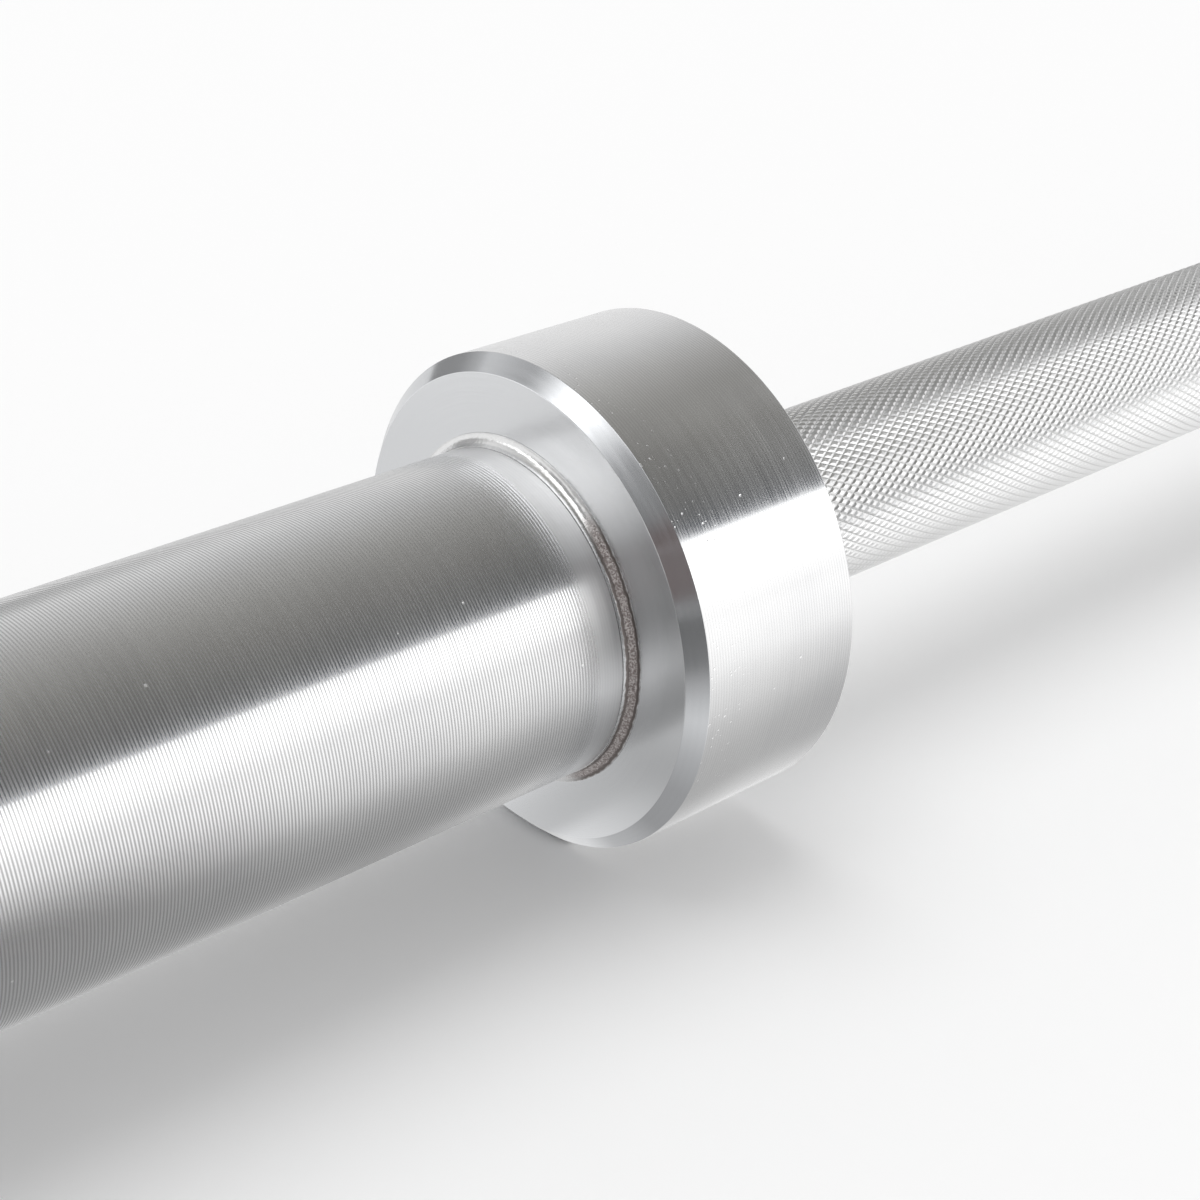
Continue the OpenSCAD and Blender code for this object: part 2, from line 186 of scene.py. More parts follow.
def rounded(points, radius):
    """A closed outline with its corners rounded, running with the solid on its left."""
    points = np.array(points, float)
    after = np.roll(points, -1, 0)
    if (points[:, 0] * after[:, 1] - after[:, 0] * points[:, 1]).sum() < 0:
        points = points[::-1]
    count = len(points)
    found = []
    for i in range(count):
        found += fillet_corner(points[i - 1], points[i], points[(i + 1) % count], radius)
    return np.array(found)


def finished_mesh(name, vertices, faces, normals, places, material, slot, body, stands_for):
    """A smooth object from vertices in mm. Each corner of each face has a normal and a place on the map."""
    mesh = bpy.data.meshes.new(name)
    mesh.from_pydata((np.asarray(vertices) * MM).tolist(), [], faces)
    mesh.polygons.foreach_set("use_smooth", np.ones(len(faces), bool))
    layer = mesh.uv_layers.new(name=BAKE_MAP)
    layer.data.foreach_set("uv", np.asarray(places, np.float32).ravel())
    mesh.normals_split_custom_set(np.asarray(normals).tolist())
    mesh.materials.append(material)
    obj = bpy.data.objects.new(name, mesh)
    bpy.context.scene.collection.objects.link(obj)
    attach(obj, body)
    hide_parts(stands_for)
    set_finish(obj, slot)
    return obj


def turned(name, points, material, slot, body, stands_for, rounding=0.15, segments=192):
    """A solid turned about the bar's axis, from its section's points as (x, radius) in mm."""
    outline = rounded(points, rounding)
    after = np.roll(outline, -1, 0)
    path = np.r_[0, np.cumsum(np.hypot(*(after - outline)[:, :2].T))]
    path = MAP_EDGE + (1 - 2 * MAP_EDGE) * path / path[-1]
    vertices, starts = [], []
    for x, r, *_ in outline:
        starts.append(len(vertices))
        for j in range(segments if r > 0 else 1):
            angle = 2 * math.pi * j / segments
            vertices.append((x, r * math.cos(angle), r * math.sin(angle)))
    faces, normals, places = [], [], []
    count = len(outline)
    for i in range(count):
        k = (i + 1) % count
        if outline[i][1] <= 0 and outline[k][1] <= 0:
            continue
        for j in range(segments):
            near, far = path[i], path[i + 1]
            corners = [(i, j, near), (k, j, far), (k, j + 1, far), (i, j + 1, near)]
            if outline[i][1] <= 0:
                corners = corners[:3]
            elif outline[k][1] <= 0:
                corners = [corners[0], corners[1], corners[3]]
            face = []
            for at, step, along in corners:
                _, r, normal_x, normal_r = outline[at]
                angle = 2 * math.pi * step / segments
                face.append(starts[at] + (step % segments if r > 0 else 0))
                outward = normal_r * math.cos(angle), normal_r * math.sin(angle)
                normals.append((normal_x, *outward))
                places.append((along, MAP_EDGE + (1 - 2 * MAP_EDGE) * step / segments))
            faces.append(face)
    return finished_mesh(name, vertices, faces, normals, places, material, slot, body, stands_for)


class KnurlBand:
    """A band of diamonds, cut by two sets of crossing grooves. Their crossings are half a diamond apart."""

    def __init__(self, start, end):
        self.start, self.end = start, end
        self.rows = 2 * round((end - start) / DIAMOND_LENGTH)
        self.half = (end - start) / self.rows
        self.step = 2 * math.pi / KNURL_STARTS
        self.vertices, self.faces, self.normals, self.places = [], [], [], []
        self.index = {}

    def vertex(self, key, x, angle, radius):
        """The number of the vertex known by key, made the first time that it is asked for."""
        if key not in self.index:
            self.index[key] = len(self.vertices)
            self.vertices.append(Vector((x, radius * math.cos(angle), radius * math.sin(angle))))
        return self.index[key]

    def face(self, corners, radial):
        """Adds a face with these corners, each (key, x, angle, radius). A radial one shines like the bar."""
        found = [self.vertex(*corner) for corner in corners]
        a, b, c = (self.vertices[i] for i in found[:3])
        flat = (b - a).cross(c - a).normalized()
        self.faces.append(found)
        for _, x, angle, radius in corners:
            self.normals.append((0, math.cos(angle), math.sin(angle)) if radial else tuple(flat))
            turn_share = (angle + self.step) / (2 * math.pi + 2 * self.step)
            self.places.append((self.map_place(x, radius), MAP_EDGE + (1 - 2 * MAP_EDGE) * turn_share))

    def map_place(self, x, radius):
        """Where a corner lies across the map. The walls at the band's ends lie in its margins."""
        depth = (CREST_R - radius) / (CREST_R - BAND_FOOT_R)
        inset = BAND_EDGE * (1 - min(1, depth)) if x in (self.start, self.end) else BAND_EDGE
        u = inset if x == self.start else 1 - inset if x == self.end else 0
        if not u:
            u = BAND_EDGE + (1 - 2 * BAND_EDGE) * (x - self.start) / (self.end - self.start)
        return u

    def crossing(self, row, place):
        """The corner where two grooves cross. Places count half steps round the bar."""
        x = self.end if row == self.rows else self.start + row * self.half
        turn = place % (2 * KNURL_STARTS)
        return ("crossing", row, turn), x, place * self.step / 2, VALLEY_R

    def crest(self, row, place, way_x, way_round, radius=CREST_R):
        """A corner of the flat of the diamond whose middle is at this row and place."""
        x = self.end if row == self.rows else self.start + row * self.half
        turn = place % (2 * KNURL_STARTS)
        angle = (place + way_round * FLAT_SHARE) * self.step / 2
        x += way_x * FLAT_SHARE * self.half
        return ("crest", row, turn, way_x, way_round), x, angle, radius

    def diamond(self, row, place):
        """One whole diamond: its flat and the four slopes down to the grooves."""
        flat = [self.crest(row, place, *way) for way in ((1, 0), (0, -1), (-1, 0), (0, 1))]
        grooves = [
            self.crossing(row + 1, place),
            self.crossing(row, place - 1),
            self.crossing(row - 1, place),
            self.crossing(row, place + 1),
        ]
        self.face(flat, True)
        for i in range(4):
            k = (i + 1) % 4
            self.face([grooves[i], grooves[k], flat[k], flat[i]], False)

    def end_diamond(self, row, place):
        """Half a diamond at an end of the band, which runs down to the plain bar and closes on its seat."""
        way = 1 if row == 0 else -1
        low = self.crest(row, place, 0, -1, GRIP_R)
        high = self.crest(row, place, 0, 1, GRIP_R)
        tip = self.crest(row, place, way, 0)
        groove_low, groove_high = self.crossing(row, place - 1), self.crossing(row, place + 1)
        groove_tip = self.crossing(row + way, place)
        edge = [groove_low, low, high, groove_high]
        feet = [((*key, "foot"), x, angle, BAND_FOOT_R) for key, x, angle, _ in edge]
        added = [[tip, low, high][::way], [groove_tip, groove_low, low, tip][::way]]
        added.append([groove_tip, tip, high, groove_high][::way])
        for i in range(3):
            added.append([edge[i], feet[i], feet[i + 1], edge[i + 1]][::way])
        for corners in added:
            self.face(corners, False)

    def build(self):
        """Cuts all the diamonds of the band."""
        for row in range(self.rows + 1):
            for place in range(1 - row % 2, 2 * KNURL_STARTS, 2):
                if 0 < row < self.rows:
                    self.diamond(row, place)
                else:
                    self.end_diamond(row, place)


# Materials


def add(tree, kind, inputs=None, **settings):
    """A new shader node. inputs gives sockets, by name or number, a value or a socket to link."""
    node = tree.nodes.new("ShaderNode" + kind)
    for key, value in settings.items():
        setattr(node, key, value)
    for key, value in (inputs or {}).items():
        if isinstance(value, bpy.types.NodeSocket):
            tree.links.new(value, node.inputs[key])
        else:
            node.inputs[key].default_value = value
    return node


def calc(tree, operation, *values):
    """The result of a maths node on these values and sockets."""
    return add(tree, "Math", dict(enumerate(values)), operation=operation).outputs[0]


def remap(tree, value, low, high, to_low=0.0, to_high=1.0):
    """value's range from low to high, eased smoothly and clamped to the other range."""
    inputs = {"Value": value, "From Min": low, "From Max": high, "To Min": to_low, "To Max": to_high}
    return add(tree, "MapRange", inputs, interpolation_type="SMOOTHSTEP").outputs[0]


def blend(tree, share, first, second):
    """The mix of two colours, each a socket or (red, green, blue)."""
    node = add(tree, "Mix", {"Factor": share}, data_type="RGBA")
    for place, value in ((6, first), (7, second)):
        if isinstance(value, bpy.types.NodeSocket):
            tree.links.new(value, node.inputs[place])
        else:
            node.inputs[place].default_value = (*value, 1)
    return node.outputs[2]


def noise(tree, vector, scale, detail=2.0, roughness=0.5):
    """Smooth noise about 0.5, with scale in features per mm."""
    inputs = {"Vector": vector, "Scale": scale, "Detail": detail, "Roughness": roughness}
    return add(tree, "TexNoise", inputs).outputs["Fac"]


class Place:
    """Where a shaded point lies on the bar, in mm, as sockets of one material."""

    def __init__(self, tree):
        point = add(tree, "TexCoord").outputs["Object"]
        self.point = add(tree, "VectorMath", {0: point, "Scale": 1 / MM}, operation="SCALE").outputs[0]
        axes = add(tree, "SeparateXYZ", {0: self.point}).outputs
        squares = calc(tree, "ADD", calc(tree, "POWER", axes[1], 2), calc(tree, "POWER", axes[2], 2))
        self.along = calc(tree, "ABSOLUTE", axes[0])
        self.radius = calc(tree, "SQRT", squares)
        # Grows along the bar and outward, so that turned rings show on round and on flat faces alike
        self.ring = calc(tree, "MULTIPLY_ADD", self.radius, 1.7, self.along)
        # 1 on round faces and 0 on faces that look along the bar
        normal = add(tree, "SeparateXYZ", {0: add(tree, "NewGeometry").outputs["Normal"]}).outputs[0]
        slope = calc(tree, "ABSOLUTE", normal)
        self.round = remap(tree, slope, 0.15, 0.6, 1.0, 0.0)
        # 1 on faces that look straight along the bar
        self.flat = remap(tree, slope, 0.8, 0.95)
        # Stretches noise into arcs round the bar
        across = calc(tree, "MULTIPLY", axes[1], 0.02)
        up = calc(tree, "MULTIPLY", axes[2], 0.02)
        self.arcs = add(tree, "CombineXYZ", {0: self.ring, 1: across, 2: up}).outputs[0]


def new_material(name, viewport_colour):
    """A material with one Principled shader, as (material, tree, shader, place)."""
    material = bpy.data.materials.new(name)
    material.use_nodes = True
    material.diffuse_color = (*viewport_colour, 1)
    tree = material.node_tree
    return material, tree, tree.nodes["Principled BSDF"], Place(tree)


def bump(tree, shader, height, depth_mm, under=None):
    """Bump of that depth in mm over the shader's normal, or over another bump."""
    inputs = {"Height": height, "Distance": depth_mm * MM, "Strength": 1.0}
    if under is not None:
        inputs["Normal"] = under
    normal = add(tree, "Bump", inputs).outputs[0]
    tree.links.new(normal, shader.inputs["Normal"])
    return normal


def brushed_round(tree, shader, anisotropy):
    """Stretches the shine of a turned piece across its rings."""
    shader.inputs["Anisotropic"].default_value = anisotropy
    shader.inputs["Anisotropic Rotation"].default_value = 0.25
    tangent = add(tree, "Tangent", direction_type="RADIAL", axis="X").outputs[0]
    tree.links.new(tangent, shader.inputs["Tangent"])


def nicks(tree, place, size, reach, least):
    """Small nicks: 1 inside one, from random cells of that size in mm. least is the share of empty cells."""
    cell = add(tree, "TexVoronoi", {"Vector": place.point, "Scale": 1 / size})
    draw = add(tree, "SeparateColor", {0: cell.outputs["Color"]}).outputs[0]
    chosen = calc(tree, "GREATER_THAN", draw, least)
    inside = remap(tree, cell.outputs["Distance"], reach * 0.5, reach, 1.0, 0.0)
    return calc(tree, "MULTIPLY", inside, chosen)


def turned_lines(tree, place):
    """The lines left by the lathe, from 0 to 1 across each of them."""
    wander = noise(tree, place.arcs, 0.35, 1)
    turns = calc(tree, "MULTIPLY", place.ring, 2 * math.pi / LINE_PITCH)
    phase = calc(tree, "MULTIPLY_ADD", wander, 1.5, turns)
    return calc(tree, "MULTIPLY_ADD", calc(tree, "SINE", phase), 0.5, 0.5)


def collar_nicks(tree, place, on_collar):
    """Dense small nicks in patches on the collar, near its bevelled edge, which satin_chrome lightens as
    painted glints.
    """
    from_bevel = calc(tree, "SUBTRACT", place.along, COLLAR_FACE + COLLAR_WIDTH - COLLAR_BEVEL - 1)
    edge = calc(tree, "ABSOLUTE", from_bevel)
    near_edge = calc(tree, "MULTIPLY", remap(tree, edge, 1.0, 8.0, 1.0, 0.0), on_collar)
    patches = remap(tree, noise(tree, place.point, 0.15, 2), 0.32, 0.52)
    patchy = calc(tree, "MULTIPLY", near_edge, patches)
    return calc(tree, "MULTIPLY", nicks(tree, place, 0.9, 0.22, 0.35), patchy)


def satin_chrome():
    """Chrome over turned steel. Its fine lines fade beside the weld and hardly show on flat faces."""
    material, tree, shader, place = new_material("satin_chrome", (0.7, 0.7, 0.7))
    lines = turned_lines(tree, place)
    streaks = noise(tree, place.arcs, 2.4, 2, 0.5)
    toe = COLLAR_FACE + WELD_TOE
    beside_weld = remap(tree, place.along, toe + 3.5, toe + 6)
    on_collar = calc(tree, "LESS_THAN", place.along, COLLAR_FACE + COLLAR_WIDTH + 0.01)
    amount = calc(tree, "MAXIMUM", beside_weld, calc(tree, "MULTIPLY", on_collar, COLLAR_LINES))
    amount = calc(tree, "MAXIMUM", amount, LEAST_LINES)
    amount = calc(tree, "MULTIPLY", amount, calc(tree, "MAXIMUM", place.round, LEAST_ON_FACES))
    ruled = calc(tree, "MULTIPLY", lines, amount)
    height = calc(tree, "MULTIPLY_ADD", streaks, 0.15, ruled)
    fine = bump(tree, shader, height, 0.004)
    worn = nicks(tree, place, 5.0, 0.05, 0.6)
    dense = collar_nicks(tree, place, on_collar)
    pits_and_glints = calc(tree, "MULTIPLY", calc(tree, "MAXIMUM", worn, dense), place.round)
    bump(tree, shader, calc(tree, "SUBTRACT", 1.0, pits_and_glints), 0.03, fine)
    cloud = noise(tree, place.point, 0.06, 3)
    cloudy = calc(tree, "MULTIPLY", cloud, 0.7)
    shade = calc(tree, "ADD", calc(tree, "MULTIPLY", streaks, 0.3), cloudy)
    plain = blend(tree, remap(tree, shade, 0.3, 0.7), (0.66, 0.66, 0.665), (0.72, 0.72, 0.72))
    # Faces that look along the bar get a lighter, bluish colour and the bevels between round and flat faces
    # a darker one: painted light on the faces and painted shade on the bevels.
    lit_faces_shaded_bevels = blend(tree, place.flat, (0.56, 0.57, 0.585), (0.79, 0.80, 0.815))
    plain = blend(tree, place.round, lit_faces_shaded_bevels, plain)
    # The turned lines also pull the colour toward a dark grey: painted shade standing in for what the lines'
    # flanks mirror.
    colour = blend(tree, calc(tree, "MULTIPLY", ruled, 0.65), plain, (0.36, 0.36, 0.36))
    # The pit mask lightens the colour to near white: painted glints over the pitted bump.
    colour = blend(tree, pits_and_glints, colour, (0.9, 0.9, 0.9))
    tree.links.new(colour, shader.inputs["Base Color"])
    # 1 on the smooth root of the sleeve, between the collar and the lines
    root = calc(tree, "SUBTRACT", calc(tree, "SUBTRACT", place.round, beside_weld), on_collar)
    worked = calc(tree, "MAXIMUM", ruled, calc(tree, "MULTIPLY", root, 0.5))
    polish = remap(tree, streaks, 0.3, 0.7, 0.15, 0.19)
    rough = calc(tree, "ADD", polish, calc(tree, "MULTIPLY", worked, 0.3))
    rough = calc(tree, "MULTIPLY_ADD", pits_and_glints, 0.2, rough)
    tree.links.new(rough, shader.inputs["Roughness"])
    shader.inputs["Metallic"].default_value = 1.0
    brushed_round(tree, shader, 0.75)
    return material


def knurled_chrome():
    """Chrome over cut steel, darker and rougher at the bottom of the grooves: grime together with painted
    shade.
    """
    material, tree, shader, place = new_material("knurled_chrome", (0.66, 0.66, 0.66))
    grain = noise(tree, place.point, 2.2, 4, 0.65)
    cloud = noise(tree, place.point, 0.05, 2)
    on_flat = remap(tree, place.radius, VALLEY_R - 0.03, CREST_R - 0.1)
    clean_and_unshaded = calc(tree, "MULTIPLY", on_flat, remap(tree, grain, 0.2, 0.5, 0.8, 1.0))
    bright = blend(tree, cloud, (0.67, 0.67, 0.67), (0.73, 0.73, 0.73))
    # The grooves' darker grey is grime together with painted shade in the recesses.
    tree.links.new(blend(tree, clean_and_unshaded, (0.56, 0.56, 0.555), bright), shader.inputs["Base Color"])
    polish = remap(tree, on_flat, 0.0, 1.0, 0.46, 0.32)
    rough = calc(tree, "ADD", polish, calc(tree, "MULTIPLY", grain, 0.08))
    tree.links.new(rough, shader.inputs["Roughness"])
    bump(tree, shader, grain, 0.012)
    shader.inputs["Metallic"].default_value = 1.0
    return material


def plated_weld():
    """A fillet of weld, plated and polished like the sleeve. On one side it keeps a line of small beads,
    with brown stains beside them."""
    material, tree, shader, place = new_material("plated_weld", (0.6, 0.59, 0.58))
    lumps = noise(tree, place.point, 0.8, 3, 0.6)
    grain = noise(tree, place.point, 3.5, 3, 0.6)
    # Millimetres toward the rough side, which faces the camera's side of the bar and a little down
    rough_way = {0: place.point, 1: (0, -1, -0.1)}
    facing = add(tree, "VectorMath", rough_way, operation="DOT_PRODUCT").outputs["Value"]
    rough_side = remap(tree, facing, 12.0, 18.0)
    # 0 in the middle of the fillet, and 1.6 at its edge on the collar
    across = calc(tree, "ADD", calc(tree, "SUBTRACT", place.radius, place.along), FILLET_MIDDLE)
    wander = calc(tree, "MULTIPLY_ADD", lumps, 0.8, across)
    off_line = calc(tree, "ABSOLUTE", calc(tree, "SUBTRACT", wander, 0.55))
    stained = calc(tree, "MULTIPLY", remap(tree, off_line, 1.2, 1.6, 1.0, 0.0), rough_side)
    beads = calc(tree, "MULTIPLY", remap(tree, off_line, 0.6, 0.95, 1.0, 0.0), rough_side)
    bead_colour = blend(tree, remap(tree, grain, 0.42, 0.6), (0.30, 0.26, 0.25), (0.62, 0.58, 0.57))
    plain = blend(tree, lumps, (0.72, 0.72, 0.72), (0.84, 0.84, 0.84))
    colour = blend(tree, stained, plain, (0.19, 0.168, 0.16))
    tree.links.new(blend(tree, beads, colour, bead_colour), shader.inputs["Base Color"])
    tree.links.new(remap(tree, stained, 0.0, 1.0, 0.2, 0.45), shader.inputs["Roughness"])
    grainy = calc(tree, "MULTIPLY", grain, beads)
    height = calc(tree, "MULTIPLY_ADD", grainy, 1.0, calc(tree, "MULTIPLY", lumps, 0.3))
    bump(tree, shader, height, 0.25)
    shader.inputs["Metallic"].default_value = 1.0
    return material


def ground_steel(name, dark, light, roughness, depth_mm):
    """Plain steel ground in rings, with a film of oil here and there."""
    material, tree, shader, place = new_material(name, light)
    streaks = noise(tree, place.arcs, 5.0, 4, 0.65)
    film = noise(tree, place.point, 0.12, 3)
    colour = blend(tree, streaks, dark, light)
    oiled = remap(tree, film, 0.5, 0.65)
    amber = blend(tree, calc(tree, "MULTIPLY", oiled, 0.3), colour, (0.45, 0.38, 0.27))
    tree.links.new(amber, shader.inputs["Base Color"])
    rough = remap(tree, film, 0.35, 0.65, roughness * 1.25, roughness * 0.75)
    tree.links.new(rough, shader.inputs["Roughness"])
    bump(tree, shader, streaks, depth_mm)
    shader.inputs["Metallic"].default_value = 1.0
    return material


def bronze():
    """Pressed bronze, with oil pores and a patchy tarnish."""
    material, tree, shader, place = new_material("bronze", (0.66, 0.45, 0.22))
    pores = nicks(tree, place, 0.7, 0.22, 0.35)
    tarnish = noise(tree, place.point, 0.25, 5, 0.6)
    grain = noise(tree, place.arcs, 4.0, 3)
    metal = blend(tree, grain, (0.60, 0.40, 0.19), (0.76, 0.54, 0.29))
    dulled = blend(tree, remap(tree, tarnish, 0.45, 0.7), metal, (0.42, 0.25, 0.12))
    tree.links.new(blend(tree, pores, dulled, (0.14, 0.08, 0.04)), shader.inputs["Base Color"])
    tree.links.new(remap(tree, tarnish, 0.3, 0.7, 0.26, 0.5), shader.inputs["Roughness"])
    bump(tree, shader, calc(tree, "SUBTRACT", grain, pores), 0.02)
    shader.inputs["Metallic"].default_value = 1.0
    return material


def black_rubber():
    """Moulded rubber with a fine grain and a little dust."""
    material, tree, shader, place = new_material("black_rubber", (0.03, 0.03, 0.03))
    grain = noise(tree, place.point, 6.0, 4, 0.7)
    dust = remap(tree, noise(tree, place.point, 0.4, 4), 0.5, 0.75, 0.0, 0.35)
    dusty = blend(tree, dust, (0.022, 0.022, 0.023), (0.10, 0.098, 0.092))
    tree.links.new(dusty, shader.inputs["Base Color"])
    tree.links.new(remap(tree, grain, 0.3, 0.7, 0.55, 0.78), shader.inputs["Roughness"])
    bump(tree, shader, grain, 0.03)
    return material


def spring_steel():
    """Blackened spring steel, rubbed bright in places."""
    material, tree, shader, place = new_material("spring_steel", (0.12, 0.12, 0.13))
    rubbed = remap(tree, noise(tree, place.point, 0.7, 5, 0.65), 0.52, 0.7)
    grain = noise(tree, place.point, 5.0, 3)
    black = blend(tree, grain, (0.05, 0.05, 0.055), (0.11, 0.11, 0.12))
    tree.links.new(blend(tree, rubbed, black, (0.33, 0.33, 0.34)), shader.inputs["Base Color"])
    tree.links.new(remap(tree, rubbed, 0.0, 1.0, 0.42, 0.27), shader.inputs["Roughness"])
    bump(tree, shader, grain, 0.015)
    shader.inputs["Metallic"].default_value = 0.9
    return material


def make_materials():
    """The material of each slot of the record."""
    ground = (0.46, 0.47, 0.49), (0.62, 0.63, 0.65)
    polished = (0.64, 0.65, 0.66), (0.74, 0.75, 0.76)
    return {
        "satin_chrome": satin_chrome(),
        "knurled_chrome": knurled_chrome(),
        "plated_weld": plated_weld(),
        "bearing_steel": ground_steel("bearing_steel", *ground, 0.32, 0.01),
        "polished_steel": ground_steel("polished_steel", *polished, 0.14, 0.002),
        "spring_steel": spring_steel(),
        "bronze": bronze(),
        "black_rubber": black_rubber(),
    }


# Pieces


def shaft_outline():
    """The shaft's section from end to end, lowered under the knurled bands, as (x, radius) in mm."""
    half = [
        (0, BAND_SEAT_R), (MIDDLE_KNURL_END, BAND_SEAT_R), (MIDDLE_KNURL_END, GRIP_R),
        (INNER_KNURL_START, GRIP_R), (INNER_KNURL_START, BAND_SEAT_R),
        (INNER_KNURL_END, BAND_SEAT_R), (INNER_KNURL_END, GRIP_R),
        (OUTER_KNURL_START, GRIP_R), (OUTER_KNURL_START, BAND_SEAT_R),
        (OUTER_KNURL_END, BAND_SEAT_R), (OUTER_KNURL_END, GRIP_R),
        (SHOULDER - SHAFT_BEVEL, GRIP_R), (SHOULDER, GRIP_R - SHAFT_BEVEL),
        (SHOULDER, JOURNAL_R), (RING_GROOVE, JOURNAL_R), (RING_GROOVE, GROOVE_R),
        (RING_GROOVE_END, GROOVE_R), (RING_GROOVE_END, JOURNAL_R),
        (SHAFT_END - SHAFT_BEVEL, JOURNAL_R), (SHAFT_END, JOURNAL_R - SHAFT_BEVEL),
        (SHAFT_END, CENTRE_HOLE_R), (SHAFT_END - CENTRE_HOLE_R, 0),
    ]
    return [(-x, r) for x, r in half[:0:-1]] + half[1:]


def sleeve_outline():
    """The sleeve tube's section, as (distance outward from the collar's inner face, radius) in mm."""
    return [
        (0, SEAT_R), (WELD_TOE, SEAT_R), (WELD_TOE, SLEEVE_R),
        (TUBE_END - SLEEVE_BEVEL, SLEEVE_R), (TUBE_END, SLEEVE_R - SLEEVE_BEVEL),
        (TUBE_END, POCKET_R + MOUTH_BEVEL), (TUBE_END - MOUTH_BEVEL, POCKET_R),
        (CAP_GROOVE_END, POCKET_R), (CAP_GROOVE_END, CAP_GROOVE_R), (CAP_FACE, CAP_GROOVE_R),
        (CAP_FACE, POCKET_R), (CAP_FLOOR, POCKET_R), (CAP_FLOOR, WASHER_R),
        (WASHER_POCKET, WASHER_R), (WASHER_POCKET, BORE_R),
        (SEAL_DEPTH, BORE_R), (SEAL_DEPTH, POCKET_R), (0, POCKET_R),
    ]


def collar_outline():
    """The collar's section, with the bevel that the weld fills at its bore."""
    return [
        (0, SEAT_R), (0, COLLAR_R - COLLAR_BACK_BEVEL), (COLLAR_BACK_BEVEL, COLLAR_R),
        (COLLAR_WIDTH - COLLAR_BEVEL, COLLAR_R), (COLLAR_WIDTH, COLLAR_R - COLLAR_BEVEL),
        (COLLAR_WIDTH, WELD_R), (WELD_ROOT, SEAT_R),
    ]


def weld_outline():
    """The weld's section, with an arc of that radius as its hollow face."""
    hollow = 1.62
    arc = []
    for degrees in range(180, 271, 6):
        angle = math.radians(degrees)
        arc.append((WELD_TOE + hollow * math.cos(angle), WELD_R + hollow * math.sin(angle)))
    return [(WELD_ROOT, SEAT_R), (COLLAR_WIDTH, WELD_R), *arc, (WELD_TOE, SEAT_R)]


def seal_outline():
    """The rubber seal's section, with a lip that leans toward the grip."""
    recess, lip_gap = 0.6, 0.1
    lip_root_r = GRIP_R + (POCKET_R - GRIP_R) / 4
    return [
        (recess, GRIP_R + lip_gap), (recess, POCKET_R), (SEAL_DEPTH, POCKET_R),
        (SEAL_DEPTH, lip_root_r), (SEAL_DEPTH / 2, lip_root_r),
    ]


def cap_outline():
    """The end cap's section: its rubber ring's groove, a boss with a turned line, and a lathe's dimple."""
    middle = (CAP_FLOOR + CAP_FACE) / 2
    groove_half = 1.25
    boss_height = 1.5
    line_half, line_depth = 0.6, 0.45
    boss_top = CAP_FACE + boss_height
    return [
        (CAP_FLOOR, 0), (CAP_FLOOR, CAP_R - CAP_BEVEL), (CAP_FLOOR + CAP_BEVEL, CAP_R),
        (middle - groove_half, CAP_R), (middle - groove_half, ORING_SEAT_R),
        (middle + groove_half, ORING_SEAT_R), (middle + groove_half, CAP_R), (CAP_FACE, CAP_R),
        (CAP_FACE, BOSS_R), (boss_top, BOSS_R - boss_height / 2),
        (boss_top, BOSS_LINE_R + line_half), (boss_top - line_depth, BOSS_LINE_R),
        (boss_top, BOSS_LINE_R - line_half), (boss_top, DIMPLE_R), (boss_top - DIMPLE_R, 0),
    ]


# Each turned piece of a side: its section, slot, corner radius in mm and number of segments
TURNED = {
    "sleeve_tube": (sleeve_outline, "satin_chrome", 0.2, 256),
    "collar": (collar_outline, "satin_chrome", 0.2, 256),
    "weld_bead": (weld_outline, "plated_weld", 0.02, 192),
    "dust_seal": (seal_outline, "black_rubber", 0.15, 128),
    "end_cap": (cap_outline, "satin_chrome", 0.12, 192),
}


def make_shaft(materials):
    """The plain shaft and the knurled bands that sit in its lowered seats."""
    slot = "knurled_chrome"
    finish = materials[slot]
    turned("shaft_core", shaft_outline(), finish, slot, "shaft", "shaft", 0.1, 160)
    for name, (start, end) in KNURLS.items():
        band = KnurlBand(start, end)
        band.build()
        shape = band.vertices, band.faces, band.normals, band.places
        finished_mesh(name, *shape, finish, slot, "shaft", "shaft")


def make_side(side, sign, materials):
    """The turned pieces of one side of the bar."""
    for piece, (section, slot, rounding, segments) in TURNED.items():
        points = [(sign * (COLLAR_FACE + s), r) for s, r in section()]
        node = f"{side}_{piece}"
        turned(f"{node}_turned", points, materials[slot], slot, f"{side}_sleeve", node, rounding, segments)


def dress_nodes(frame, materials):
    """Gives each construction piece its slot's material."""
    slots = {part["node"]: part["material_slot"] for part in frame["record"]["subparts"]}
    for name, obj in frame["nodes"].items():
        obj.data.materials.clear()
        obj.data.materials.append(materials[slots[name]])


# Studio


def glow(name):
    """An emission that takes its colour from the mesh."""
    material = bpy.data.materials.new(name)
    material.use_nodes = True
    tree = material.node_tree
    tree.nodes.clear()
    colour = add(tree, "Attribute", attribute_name=name).outputs["Color"]
    emission = add(tree, "Emission", {"Color": colour})
    output = add(tree, "OutputMaterial")
    tree.links.new(emission.outputs[0], output.inputs["Surface"])
    return material


